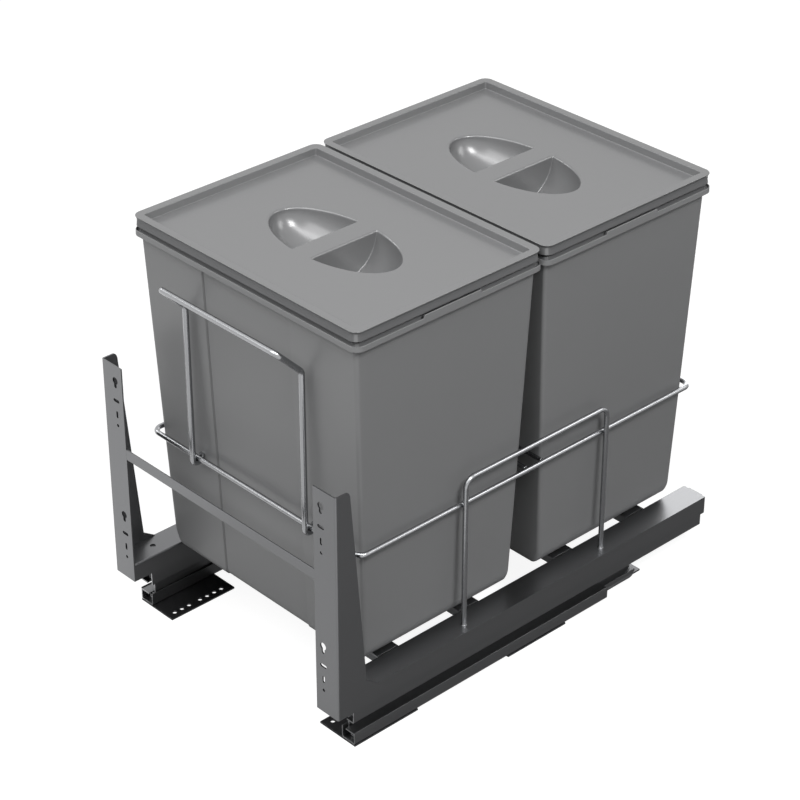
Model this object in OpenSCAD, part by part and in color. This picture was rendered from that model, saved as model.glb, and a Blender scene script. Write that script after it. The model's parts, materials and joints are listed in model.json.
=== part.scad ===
/* [Carriage] */
// Outer width over the two side covers
carriage_w = 350; // [330:1:390]
// Height of the cover tops above the cabinet floor
carriage_h = 69; // [68:0.5:80]
// Width of a side cover and of a door bracket
cover_w = 31.4; // [30:0.2:36]
// Height of a side cover's walls
cover_h = 20.5; // [16:0.5:26]
// Thickness of the cover, bracket, strap and crossbar sheet
sheet_t = 1.5; // [1:0.1:2]
// Outside radius of the sheet folds
fold_r = 2.2; // [2.1:0.1:3]
// How far the moving rail stands out behind its cover
cover_back_gap = 3; // [0:0.5:10]
// Diameter of the hole in the cover top
cover_hole_d = 6; // [3:0.5:8]
// Distance of the cover's hole behind the door plane
cover_hole_y = 37.6; // [34:0.2:46]
// Distance of the cover's hole from the outer side
cover_hole_x = 15.4; // [12:0.2:18]

/* [Slides] */
// Length of a moving rail
moving_rail_l = 510; // [480:1:560]
// Distance of the rail fronts behind the door plane
rail_setback = 26; // [10:1:40]
// Length of a fixed rail
fixed_rail_l = 362; // [340:1:400]
// Length of a middle rail
middle_rail_l = 406; // [390:1:440]
// Distance of the middle rail's front behind the rail fronts
middle_rail_gap = 6; // [1:0.5:10]
// Run of the carriage from closed to open
travel = 480; // [420:1:500]
// Width of a fixed rail
fixed_rail_w = 19; // [19:0.1:20]
// Height of a fixed rail to its lip
fixed_rail_h = 13.5; // [13.5:0.1:15]
// Extra height of a fixed rail's inner wall
fixed_wall_extra = 1; // [0.5:0.1:2]
// Distance of the fixed rail's outer face inside the carriage side
fixed_inset = 6; // [5:0.1:7]
// Width of a fixed rail's top lip, with its wall
fixed_lip_w = 13.3; // [12:0.1:13.6]
// Width of a moving rail
moving_rail_w = 19.5; // [19.5:0.1:20]
// Height of a moving rail
moving_rail_h = 40; // [38:0.5:42]
// Distance of the moving rail's outer face inside the carriage side
moving_inset = 7; // [6.8:0.1:7.4]
// Width of a moving rail's bottom lip, with its wall
moving_lip_w = 10.5; // [8:0.1:11]
// Thickness of the rail sheet
rail_t = 1.5; // [1.2:0.1:1.6]
// Thickness of the middle rail's neck
neck_t = 1.9; // [1.5:0.1:2]
// Thickness of the middle rail's flanges
flange_t = 1.3; // [1:0.1:1.4]
// Gap between the lower flange and the fixed rail's lip
lower_lip_gap = 0.6; // [0.3:0.1:0.8]
// Gap between the upper flange and the moving rail's lip
upper_lip_gap = 1; // [0.3:0.1:2]
// Gap between the neck and the fixed rail's inner wall
neck_gap = 1; // [0.5:0.1:1.2]
// Radius of the middle rail's lower back corner
middle_corner_r = 8; // [4:0.5:8.5]

/* [Ball races] */
// Diameter of a ball
ball_d = 6; // [5.6:0.1:6.2]
// Depth of the groove that a ball runs in
groove_depth = 0.45; // [0.3:0.05:0.6]
// Radial play of a ball in its groove
ball_play = 0.05; // [0.02:0.01:0.1]
// Distance between balls in a row
ball_pitch = 24; // [16:1:32]
// Thickness of a ball cage
cage_t = 0.6; // [0.4:0.1:0.8]
// Play between a cage and a ball
cage_play = 0.1; // [0.05:0.05:0.2]
// Gap between a cage and the rails
cage_gap = 0.25; // [0.2:0.05:0.3]
// Distance of a cage's end from a rail's end, at the end of the run
cage_end_gap = 4; // [2:0.5:8]

/* [Feet] */
// Thickness of a foot plate
foot_t = 2; // [1.5:0.1:3]
// Width of a foot plate
foot_w = 51.5; // [45:0.5:60]
// Length of a foot plate
foot_l = 85; // [80:1:95]
// Distance of the middle foot behind the rail fronts
middle_foot_y = 213; // [150:1:230]
// Length of fixed rail that stands on the back foot
back_foot_overlap = 19; // [10:1:40]
// Width of fixed rail that stands on the back foot
back_foot_tuck = 6; // [4:0.5:12]
// Diameter of a screw hole in a foot
foot_hole_d = 5; // [3:0.5:6]
// Distance of the screw holes from the foot's inner edge
foot_hole_edge = 8; // [5:0.5:14]
// Distance of the first screw hole from the foot's front edge
foot_hole_first = 9.7; // [6:0.1:12]
// Distance between neighbouring screw holes
foot_hole_pitch = 9.7; // [8:0.1:10]
// Distance between the two groups of screw holes
foot_hole_break = 14.9; // [12:0.1:16]

/* [Door brackets] */
// Height of a door bracket
bracket_h = 256.5; // [240:0.5:300]
// Depth of the bracket's side at the top
bracket_top_d = 18; // [14:0.5:24]
// Depth of the bracket's side above its foot
bracket_low_d = 37.1; // [30:0.1:44]
// Depth of the bracket's foot on the cover
bracket_foot_d = 51.5; // [48:0.5:60]
// Height of the bracket foot's slope above the cover
bracket_foot_rise = 9.6; // [5:0.1:16]
// Radius of the bracket's top corner
bracket_corner_r = 5; // [2:0.5:8]
// Distance of the hole column from the outer side
hole_column_x = 20.7; // [14:0.1:22]
// Height of the lower keyhole above the bracket's foot
keyhole_z = 79; // [75:0.5:85]
// Distance between the two groups of holes
hole_group_pitch = 160; // [140:1:170]
// Diameter of a keyhole's round end
keyhole_d = 8; // [6:0.5:9]
// Width of a keyhole's slot
keyhole_slot_w = 4; // [3:0.5:5]
// Drop of a keyhole's slot below its round end
keyhole_drop = 6.5; // [5:0.5:8]
// Width of the level slot
level_slot_w = 3.6; // [3:0.1:4]
// Length of the level slot
level_slot_l = 9.3; // [7:0.1:12]
// Drop of the level slot below the keyhole
level_slot_drop = 23.3; // [20:0.1:26]
// Width of the upright slot
upright_slot_w = 3; // [2:0.1:4]
// Length of the upright slot
upright_slot_l = 8; // [6:0.5:9]
// Drop of the upright slot below the keyhole
upright_slot_drop = 39.5; // [36:0.5:42]
// Diameter of the pilot hole
pilot_d = 3.5; // [2:0.1:4.5]
// Drop of the pilot hole below the keyhole
pilot_drop = 52.3; // [49:0.1:56]
// Height of the crossbar strip
crossbar_h = 12; // [8:0.5:20]
// Height of the crossbar above the bracket's foot
crossbar_z = 150.8; // [120:0.1:180]

/* [Cross straps] */
// Width of a cross strap
strap_w = 28.2; // [22:0.2:32]
// Height of a cross strap's flanges
strap_h = 10; // [8:0.5:20]
// Distance of the front strap behind the door plane
front_strap_y = 80; // [70:1:90]
// Distance between the two straps under one bin
strap_pitch = 111.4; // [100:0.2:130]
// Distance of the back bin's straps behind the front bin's
back_straps_run = 249; // [230:0.2:260]

/* [Bins] */
// Width of a bin at its mouth
mouth_w = 310.6; // [300:0.2:312]
// Depth of a bin at its mouth
mouth_d = 227.4; // [220:0.2:230]
// Width of a bin at its base
base_w = 291.4; // [280:0.2:296]
// Depth of a bin at its base
base_d = 196.2; // [190:0.2:202]
// Height of a bin
bin_h = 373.7; // [360:0.1:400]
// Thickness of a bin's walls
bin_t = 2.2; // [1.6:0.1:3]
// Radius of a bin's upright corners
bin_corner_r = 6; // [4:0.5:8]
// Radius of the base edge along the long sides
base_side_r = 21; // [16:0.5:26]
// Radius of the base edge at front and back
base_end_r = 8; // [6:0.5:10]
// Half width of the front panel at the top
panel_top = 63; // [50:1:80]
// Half width of the front panel at the bottom
panel_low = 65; // [50:1:80]
// Depth of the front panel
panel_depth = 1.4; // [0.6:0.1:2]
// Height of a bin's rim flange
flange_h = 6.9; // [5:0.1:9]
// Length of the finger tab on the rim
tab_l = 72; // [50:1:90]
// Height of the finger tab above the rim
tab_h = 2; // [1:0.1:3]
// Play between a finger tab and the lid's skirt
tab_play = 0.3; // [0.2:0.1:1]

/* [Lids] */
// Width of a lid
lid_w = 327.4; // [326:0.2:330]
// Depth of a lid
lid_d = 242.6; // [242:0.2:246]
// Height of a lid above the bin's rim
lid_h = 13.5; // [12:0.1:16]
// Radius of a lid's corners
lid_corner_r = 11; // [8:0.5:14]
// Thickness of a lid
lid_t = 2; // [1.6:0.1:2.4]
// How far a lid's skirt stands back under its edge
skirt_inset = 4; // [3:0.1:4.4]
// Width of a lid's raised border
border_w = 10; // [9:0.1:14]
// Depth of a lid's field below its border
field_depth = 8.2; // [6:0.1:9]
// Gap between the two lids
lid_gap = 1.4; // [0.6:0.1:4]
// Distance of the front lid behind the door plane
lid_setback = 37.7; // [36:0.1:46]
// Half length of the grip bowl
bowl_half_l = 84.5; // [70:0.5:100]
// Half width of the grip bowl
bowl_half_w = 43.3; // [36:0.1:50]
// Depth of the grip bowl
bowl_depth = 41.5; // [30:0.1:43]
// Width of the grip bar across the bowl
grip_w = 28; // [20:0.5:36]
// Clearance between a lid's locating rim and the bin's mouth
rim_play = 0.6; // [0.4:0.1:1.2]
// Depth of a lid's locating rim in the bin's mouth
rim_depth = 4; // [2:0.1:4.4]

/* [Wires] */
// Diameter of the ring and side wires
wire_d = 5.5; // [4:0.1:6]
// Height of the ring above the cover tops
ring_rise = 140.9; // [120:0.1:180]
// Radius of the ring's corners
ring_corner_r = 10; // [8:0.5:16]
// Gap between the ring and a bin's long side
ring_side_gap = 2.6; // [1:0.1:5]
// Gap between the ring and the back of the back bin
ring_back_gap = 6; // [2:0.1:12]
// Height of the side wires above the cover tops
side_wire_h = 172; // [150:1:200]
// Distance of a side wire's foot from the outer side
side_wire_inset = 9.7; // [6:0.1:12]
// Distance of the side wires' front legs behind the door plane
side_wire_y = 180; // [150:1:200]
// Distance between a side wire's legs
side_wire_span = 201; // [150:1:240]
// Radius of the side wires' bends
side_wire_bend = 19; // [12:0.5:26]
// Height of the weld at a side wire's foot
weld_h = 3; // [1:0.5:5]
// Width of the weld beyond the wire
weld_w = 1.2; // [0.5:0.1:2]
// Diameter of the divider wires
divider_d = 5; // [4:0.1:5.5]
// Gap between the front bin and its divider wire
front_divider_gap = 6.3; // [3:0.1:7]
// Gap between the back bin and its divider wire
back_divider_gap = 2.6; // [1:0.1:6]

/* [Front wire frame] */
// Diameter of the front frame's wire
frame_wire_d = 6.2; // [5:0.1:7]
// Distance between the frame's uprights
frame_w = 171.2; // [140:0.2:220]
// Height of the frame's top bar above the ring
frame_rise = 204.8; // [180:0.1:210]
// How far the top bar stands in front of the uprights
frame_forward = 29.4; // [20:0.1:30]
// Radius of the frame's slanting bends
frame_bend = 8; // [6:0.5:12]
// Radius of the frame's top corners
frame_corner_r = 6; // [5:0.5:10]
// Play between a hook and the ring
hook_play = 0.1; // [0.05:0.05:0.3]
// Gap between a hook and the front bin
hook_bin_gap = 0.4; // [0.4:0.1:3]
// Height of a hook's end above the ring's middle
hook_end = 2.1; // [1:0.1:4]
// How much less radius the sloping top has than the uprights
top_step = 0.02; // [0.01:0.01:0.05]
// How far the sloping top enters the uprights' bends
top_entry = 0.3; // [0.2:0.1:0.4]

/* [Hidden] */
$fn = 48;
cut = 1;
sliver = 0.01;

// Depth: the door plane is the front of the brackets, the moving rails' ends are the back
overall_d = rail_setback + moving_rail_l;
door_y = -overall_d / 2;
rail_y = door_y + rail_setback;
cover_back_y = overall_d / 2 - cover_back_gap;
fixed_back_y = rail_y + fixed_rail_l;
middle_y = rail_y + middle_rail_gap;
middle_back_y = middle_y + middle_rail_l;

// Width: faces of the rails on the right-hand side
side_x = carriage_w / 2;
cover_in_x = side_x - cover_w;
fixed_x = side_x - fixed_inset - fixed_rail_w;
moving_x = side_x - moving_inset - moving_rail_w;
neck_x = fixed_x + rail_t + neck_gap;

// Height: the rails lie between the feet and the covers
cover_z = carriage_h - cover_h;
moving_z = carriage_h - sheet_t - moving_rail_h;
groove_r = ball_d / 2 + ball_play;
ball_gap = 2 * (groove_r - groove_depth);
web_gap = 2 * cage_gap + cage_t;
lower_head_z = foot_t + rail_t + web_gap;
lower_head_top = foot_t + fixed_rail_h - rail_t - lower_lip_gap;
head_h = lower_head_top - lower_head_z;
upper_head_z = moving_z + rail_t + upper_lip_gap;
lower_ball_z = (lower_head_z + lower_head_top - flange_t) / 2;
upper_ball_z = upper_head_z + head_h - (lower_ball_z - lower_head_z);

// Across: a head stands between two rows of balls
lower_head_x = fixed_x + rail_t + ball_gap;
lower_head_w = fixed_rail_w - 2 * rail_t - 2 * ball_gap;
upper_head_x = moving_x + rail_t + ball_gap;
upper_head_w = moving_rail_w - 2 * rail_t - 2 * ball_gap;
lower_ball_x = [lower_head_x - ball_gap / 2, lower_head_x + lower_head_w + ball_gap / 2];
upper_ball_x = [upper_head_x - ball_gap / 2, upper_head_x + upper_head_w + ball_gap / 2];

// Cages: a cage runs half as far as the rail that rolls on it
lower_cage_y = rail_y + travel / 4 + cage_end_gap;
lower_cage_back = middle_back_y - travel / 4 - cage_end_gap;
upper_cage_y = middle_y + travel / 4 + cage_end_gap;
upper_cage_back = overall_d / 2 - travel / 4 - cage_end_gap;

// Bins and lids: two of each, one lid gap apart
bin_pitch = lid_d + lid_gap;
front_bin_y = door_y + lid_setback + lid_d / 2;
back_bin_y = front_bin_y + bin_pitch;
side_draft = atan((mouth_w - base_w) / 2 / bin_h);
end_draft = atan((mouth_d - base_d) / 2 / bin_h);
flange_z = bin_h - flange_h;
field_z = lid_h - field_depth;
bowl_centre_z = field_z + bowl_half_w - bowl_depth;
straps_y = front_strap_y + door_y;

// Wires: the ring lies round the bins at its own height
ring_z = carriage_h + ring_rise;
wire_r = wire_d / 2;
frame_r = frame_wire_d / 2;
hook_r = wire_r + hook_play + frame_r;
bin_half_w = (base_w + (mouth_w - base_w) * ring_rise / bin_h) / 2;
bin_half_d = (base_d + (mouth_d - base_d) * ring_rise / bin_h) / 2;
ring_x = bin_half_w + ring_side_gap + wire_r;
ring_y = front_bin_y - bin_half_d - hook_bin_gap - frame_r - hook_r;
ring_back_y = back_bin_y + bin_half_d + ring_back_gap + wire_r;
side_foot_x = side_x - side_wire_inset;
side_lean = atan((side_foot_x - ring_x - wire_d) / ring_rise);

sheet_grey = [0.23, 0.23, 0.24];
cover_grey = [0.34, 0.34, 0.35];
rail_grey = [0.28, 0.28, 0.29];
steel_grey = [0.72, 0.72, 0.73];
plastic_grey = [0.47, 0.47, 0.48];
lid_grey = [0.55, 0.55, 0.56];

// Shared shapes

// Draws a right-hand piece, or mirrors it to the left
module on_side(right) {
    mirror([right ? 0 : 1, 0, 0]) children();
}

// Rectangle about the origin with round corners
module rounded_rect(w, d, r) {
    square([w - 2 * r, d], center = true);
    square([w, d - 2 * r], center = true);
    for (x = [-1, 1], y = [-1, 1])
        translate([x * (w / 2 - r), y * (d / 2 - r)]) circle(r);
}

// Closed outline of folded sheet, w by h from the origin
module folded_box(w, h, t) {
    translate([w / 2, h / 2]) difference() {
        rounded_rect(w, h, fold_r);
        rounded_rect(w - 2 * t, h - 2 * t, fold_r - t);
    }
}

// Extrudes an outline drawn across the rails along their length
module along(y0, y1) {
    translate([0, y1, 0]) rotate([90, 0, 0]) linear_extrude(y1 - y0) children();
}

// Wire of straight runs and bends: each step is [run, bend angle, bend radius, roll before the bend]
module wire(steps, r, i = 0) {
    run = steps[i][0];
    angle = steps[i][1];
    bend = steps[i][2];
    if (run > 0) cylinder(h = run, r = r);
    if (i < len(steps) - 1)
        translate([0, 0, run]) rotate([0, 0, steps[i][3]]) {
            translate([bend, 0, 0]) rotate([90, 0, 180])
                rotate_extrude(angle = angle) translate([bend, 0]) circle(r);
            translate([bend * (1 - cos(angle)), 0, bend * sin(angle)]) rotate([0, angle, 0])
                wire(steps, r, i + 1);
        }
}

// Slides

// Grooves that two rows of balls run in
module grooves(xs, z) {
    for (x = xs) translate([x, z]) circle(groove_r);
}

module fixed_rail() {
    color(rail_grey) along(rail_y, fixed_back_y) difference() {
        union() {
            difference() {
                translate([fixed_x, foot_t]) folded_box(fixed_rail_w, fixed_rail_h, rail_t);
                translate([fixed_x - cut, foot_t + fixed_rail_h / 2])
                    square([fixed_rail_w - fixed_lip_w + cut, fixed_rail_h]);
            }
            translate([fixed_x, foot_t + fixed_rail_h / 2])
                square([rail_t, fixed_rail_h / 2 + fixed_wall_extra]);
        }
        grooves(lower_ball_x, lower_ball_z);
    }
}

module moving_rail() {
    color(rail_grey) along(rail_y, overall_d / 2) difference() {
        translate([moving_x, moving_z]) folded_box(moving_rail_w, moving_rail_h, rail_t);
        translate([moving_x - cut, moving_z - cut])
            square([moving_rail_w - moving_lip_w + cut, rail_t + cut]);
        grooves(upper_ball_x, upper_ball_z);
    }
}

// Hollow head of a middle rail, with the flange that leads to its neck
module rail_head(x, w, z, flange_at) {
    difference() {
        union() {
            translate([x, z]) square([w, head_h]);
            translate([neck_x, flange_at]) square([x + w - neck_x, flange_t]);
        }
        translate([x + rail_t, z + flange_t]) square([w - 2 * rail_t, head_h - 2 * flange_t]);
    }
}

module middle_rail() {
    neck_z = lower_head_top - flange_t;
    color(rail_grey) intersection() {
        along(middle_y, middle_back_y) difference() {
            union() {
                rail_head(lower_head_x, lower_head_w, lower_head_z, neck_z);
                rail_head(upper_head_x, upper_head_w, upper_head_z, upper_head_z);
                translate([neck_x, neck_z]) square([neck_t, upper_head_z + flange_t - neck_z]);
            }
            grooves(lower_ball_x, lower_ball_z);
            grooves(upper_ball_x, upper_ball_z);
        }
        translate([fixed_x, 0, 0]) rotate([90, 0, 90]) linear_extrude(fixed_rail_w + cut) {
            translate([middle_y, lower_head_z])
                square([middle_rail_l - middle_corner_r, carriage_h]);
            translate([middle_y, lower_head_z + middle_corner_r]) square([middle_rail_l, carriage_h]);
            translate([middle_back_y - middle_corner_r, lower_head_z + middle_corner_r])
                circle(middle_corner_r);
        }
    }
}

// Places a child at each ball of the rows between y0 and y1
module at_balls(xs, z, y0, y1) {
    gaps = floor((y1 - y0 - ball_pitch / 2) / ball_pitch);
    first = (y0 + y1 - gaps * ball_pitch) / 2;
    for (x = xs, i = [0:gaps]) translate([x, first + i * ball_pitch, z]) children();
}

// Cage for two rows of balls: side strips joined by a web, up is 1 when the web lies below
module ball_cage(xs, ball_z, web_z, up, y0, y1) {
    strip_h = abs(ball_z - web_z) + ball_d / 2 - 3 * cage_gap;
    color(steel_grey) difference() {
        along(y0, y1) translate([0, web_z]) mirror([0, up > 0 ? 0 : 1]) {
            for (x = xs) translate([x - cage_t / 2, 0]) square([cage_t, strip_h]);
            translate([xs[0] - cage_t / 2, 0]) square([xs[1] - xs[0] + cage_t, cage_t]);
        }
        at_balls(xs, ball_z, y0, y1) rotate([0, 90, 0])
            cylinder(h = ball_d, r = ball_d / 2 + cage_play, center = true);
    }
}

module lower_ball_cage() {
    ball_cage(lower_ball_x, lower_ball_z, foot_t + rail_t + cage_gap, 1, lower_cage_y, lower_cage_back);
}

module upper_ball_cage() {
    web_z = upper_head_z + head_h + web_gap - cage_gap;
    ball_cage(upper_ball_x, upper_ball_z, web_z, -1, upper_cage_y, upper_cage_back);
}

module lower_balls() {
    color(steel_grey) at_balls(lower_ball_x, lower_ball_z, lower_cage_y, lower_cage_back)
        sphere(d = ball_d);
}

module upper_balls() {
    color(steel_grey) at_balls(upper_ball_x, upper_ball_z, upper_cage_y, upper_cage_back)
        sphere(d = ball_d);
}

// Feet

// Foot plate whose outer front corner lies at x, y
module foot(x, y) {
    holes = [0, 1, 2, 2, 3, 4, 5];
    color(sheet_grey) difference() {
        translate([x - foot_w, y, 0]) cube([foot_w, foot_l, foot_t]);
        for (i = [0:6])
            translate([x - foot_w + foot_hole_edge,
                    y + foot_hole_first + holes[i] * foot_hole_pitch + (i > 2 ? foot_hole_break : 0), -cut])
                cylinder(h = foot_t + 2 * cut, d = foot_hole_d);
    }
}

module front_foot() {
    foot(fixed_x + fixed_rail_w, rail_y);
}

module middle_foot() {
    foot(fixed_x + fixed_rail_w, rail_y + middle_foot_y);
}

module back_foot() {
    foot(fixed_x + back_foot_tuck, fixed_back_y - back_foot_overlap);
}

// Covers, brackets and straps

// Folded strip open at the bottom, w wide and h high, from the origin
module folded_u(w, h) {
    intersection() {
        translate([0, -h]) folded_box(w, 2 * h, sheet_t);
        square([w, h]);
    }
}

// Folded corner: a wall along X and a wall at its far end
module folded_corner(w, d) {
    intersection() {
        translate([-w, 0]) folded_box(2 * w, 2 * d, sheet_t);
        square([w, d]);
    }
}

module cover_rail() {
    color(cover_grey) difference() {
        along(door_y + sheet_t, cover_back_y) translate([cover_in_x, cover_z])
            folded_u(cover_w, cover_h);
        translate([side_x - sheet_t, door_y, cover_z - cut])
            cube([sheet_t + cut, bracket_foot_d, cover_h + 2 * cut]);
        translate([side_x - cover_hole_x, door_y + cover_hole_y, carriage_h - sheet_t - cut])
            cylinder(h = sheet_t + 2 * cut, d = cover_hole_d);
    }
}

// Keyhole, level slot, upright slot and pilot hole, about the keyhole's round end
module hole_group() {
    circle(d = keyhole_d);
    translate([-keyhole_slot_w / 2, -keyhole_drop]) square([keyhole_slot_w, keyhole_drop]);
    translate([0, -keyhole_drop]) circle(d = keyhole_slot_w);
    translate([0, -level_slot_drop]) slot(level_slot_l, level_slot_w);
    translate([0, -upright_slot_drop]) rotate([0, 0, 90]) slot(upright_slot_l, upright_slot_w);
    translate([0, -pilot_drop]) circle(d = pilot_d);
}

// Slot along X with round ends
module slot(l, w) {
    square([l - w, w], center = true);
    for (x = [-1, 1]) translate([x * (l - w) / 2, 0]) circle(d = w);
}

// Side view of a bracket, from the door plane and its foot
module bracket_side() {
    top_in = bracket_top_d - bracket_corner_r;
    difference() {
        polygon([
            [0, 0], [bracket_foot_d, 0], [bracket_foot_d, cover_h],
            [bracket_low_d, cover_h + bracket_foot_rise],
            [bracket_top_d, bracket_h], [0, bracket_h]
        ]);
        translate([top_in, bracket_h - bracket_corner_r]) difference() {
            square([bracket_corner_r + cut, bracket_corner_r + cut]);
            circle(bracket_corner_r);
        }
    }
}

module door_bracket() {
    color(cover_grey) difference() {
        intersection() {
            translate([cover_in_x, door_y, cover_z]) linear_extrude(bracket_h)
                folded_corner(cover_w, bracket_foot_d);
            translate([cover_in_x, door_y, cover_z]) rotate([90, 0, 90])
                linear_extrude(cover_w) bracket_side();
        }
        for (z = [0, hole_group_pitch])
            translate([side_x - hole_column_x, door_y + 2 * sheet_t, cover_z + keyhole_z + z])
                rotate([90, 0, 0]) linear_extrude(3 * sheet_t) hole_group();
    }
}

module front_crossbar() {
    color(cover_grey) translate([-cover_in_x, door_y, cover_z + crossbar_z])
        cube([2 * cover_in_x, sheet_t, crossbar_h]);
}

// Strap whose front edge lies at y
module strap(y) {
    color(cover_grey) translate([-cover_in_x, y, carriage_h - strap_h])
        rotate([90, 0, 90]) linear_extrude(2 * cover_in_x) folded_u(strap_w, strap_h);
}

// Wires

module wire_ring() {
    r = ring_corner_r;
    long = [ring_back_y - ring_y - 2 * r, 90, r, 0];
    short = [2 * ring_x - 2 * r, 90, r, 0];
    color(steel_grey) translate([r - ring_x, ring_y, ring_z]) rotate([90, 0, 90])
        wire([short, long, short, long, [0, 0, 0, 0]], wire_r);
}

module side_wire() {
    leg = side_wire_h / cos(side_lean) - side_wire_bend;
    color(steel_grey) intersection() {
        union() {
            translate([side_foot_x, door_y + side_wire_y, carriage_h])
                rotate([0, -side_lean, 0]) rotate([0, 0, 90]) translate([0, 0, -wire_r])
                    wire([
                        [leg + wire_r, 90, side_wire_bend, 0],
                        [side_wire_span - 2 * side_wire_bend, 90, side_wire_bend, 0],
                        [leg + wire_r, 0, 0, 0]
                    ], wire_r);
            for (y = [0, side_wire_span])
                translate([side_foot_x, door_y + side_wire_y + y, carriage_h])
                    cylinder(h = weld_h, r1 = wire_r + weld_w, r2 = wire_r);
        }
        translate([0, door_y, carriage_h]) cube([side_x, overall_d, 2 * side_wire_h]);
    }
}

// Straight wire across the ring at y
module divider_wire(y) {
    color(steel_grey) translate([wire_r - ring_x, y, ring_z]) rotate([0, 90, 0])
        cylinder(h = 2 * (ring_x - wire_r), d = divider_d);
}

module front_divider_wire() {
    divider_wire(front_bin_y + bin_half_d + front_divider_gap + divider_d / 2);
}

module back_divider_wire() {
    divider_wire(back_bin_y - bin_half_d - back_divider_gap - divider_d / 2);
}

// One hook of the front frame with its upright, up to the end of the slanting bend
module frame_upright(x, upright) {
    color(steel_grey) translate([x, ring_y + hook_r, ring_z + hook_end]) rotate([180, 0, -90])
        wire([
            [hook_end, 180, hook_r, 0],
            [upright, 45, frame_bend, 180],
            [0, 0, 0, 0]
        ], frame_r);
}

// The sloping top is a hair thinner than the uprights, whose bends it enters
module front_wire_frame() {
    slant_in = frame_bend * tan(22.5);
    upright = frame_rise - frame_forward - slant_in;
    slant = frame_forward * sqrt(2) - slant_in - frame_corner_r + top_entry;
    bar = frame_w - 2 * frame_corner_r;
    frame_upright(-frame_w / 2, upright);
    frame_upright(frame_w / 2, upright);
    color(steel_grey)
        translate([
            -frame_w / 2,
            ring_y - hook_r - frame_bend * (1 - cos(45)),
            ring_z + upright + frame_bend * sin(45)
        ])
        rotate([45, 0, 0]) translate([0, 0, -top_entry]) wire([
            [slant, 90, frame_corner_r, 0],
            [bar, 90, frame_corner_r, 0],
            [slant, 0, 0, 0]
        ], frame_r - top_step);
}

// Bins

// Round edge bar of a bin's base, along Y, shrunk by a wall
module base_bar(wall) {
    side_r = base_side_r - wall;
    end_r = base_end_r - wall;
    l = base_d - 2 * wall;
    rotate([90, 0, 0]) rotate_extrude($fn = 32) intersection() {
        rounded_rect(2 * side_r, l, end_r, $fn = 32);
        translate([0, -l / 2]) square([side_r, l]);
    }
}

// Tapered form of a bin from its base, shrunk by a wall all round, up to height z
module bin_form(wall, z) {
    w = base_w + (mouth_w - base_w) * z / bin_h - 2 * wall;
    d = base_d + (mouth_d - base_d) * z / bin_h - 2 * wall;
    bar_x = base_w / 2 + base_side_r * (tan(side_draft) - 1 / cos(side_draft));
    hull() {
        for (x = [-bar_x, bar_x]) translate([x, 0, base_side_r]) base_bar(wall);
        translate([0, 0, z - sliver]) linear_extrude(sliver)
            rounded_rect(w, d, bin_corner_r - wall / 2, $fn = 32);
    }
}

// Recess in a bin's front face, from depth in to out beyond the face, wider by extra
module panel(extra, depth, out) {
    translate([0, -base_d / 2, 0]) rotate([90 + end_draft, 0, 0])
        translate([0, 0, -depth]) linear_extrude(depth + out) polygon([
            [-panel_low - extra, 0], [panel_low + extra, 0],
            [panel_top + extra, flange_z + extra], [-panel_top - extra, flange_z + extra]
        ]);
}

// Rim flange of a bin: a flat shelf with a turned-down edge and two finger tabs
module rim_flange() {
    translate([0, 0, flange_z]) linear_extrude(flange_h) difference() {
        rounded_rect(lid_w, lid_d, lid_corner_r);
        rounded_rect(lid_w - 2 * bin_t, lid_d - 2 * bin_t, lid_corner_r - bin_t);
    }
    translate([0, 0, bin_h - bin_t]) linear_extrude(bin_t) difference() {
        rounded_rect(lid_w - bin_t, lid_d - bin_t, lid_corner_r - bin_t / 2);
        square([mouth_w - 3 * bin_t, mouth_d - 3 * bin_t], center = true);
    }
    tab_w = skirt_inset - tab_play;
    for (x = [-1, 1]) translate([x * (lid_w - tab_w) / 2, 0, bin_h - bin_t + tab_h / 2 + bin_t / 2])
        cube([tab_w, tab_l, tab_h + bin_t], center = true);
}

module bin(y) {
    color(plastic_grey) translate([0, y, carriage_h]) difference() {
        union() {
            bin_form(0, bin_h);
            rim_flange();
        }
        difference() {
            bin_form(bin_t, bin_h + cut);
            panel(bin_t, panel_depth + bin_t, cut);
        }
        panel(0, panel_depth, bin_t);
    }
}

// Lids

// Grip bowl's full form: an ellipse turned about the X axis, larger by extra
module bowl_form(extra) {
    steps = 28;
    translate([0, 0, bowl_centre_z]) rotate([0, 90, 0]) rotate_extrude($fn = 96)
        polygon([for (i = [0:steps]) [
            (bowl_half_w + extra) * sin(180 * i / steps),
            (bowl_half_l + extra) * cos(180 * i / steps)
        ]]);
}

// Both sides of the grip bar, further than x from the middle and lower than z
module beside_grip(x, z) {
    depth = 2 * bowl_half_w;
    for (s = [0, 1]) mirror([s, 0, 0])
        translate([x, -depth / 2 - lid_t, z - depth]) cube([bowl_half_l, depth + 2 * lid_t, depth]);
}

// Walls of a rounded rectangle, t thick, from z0 to z1
module rim_wall(w, d, r, t, z0, z1) {
    translate([0, 0, z0]) linear_extrude(z1 - z0) difference() {
        rounded_rect(w, d, r);
        rounded_rect(w - 2 * t, d - 2 * t, max(r - t, 0.5));
    }
}

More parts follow.
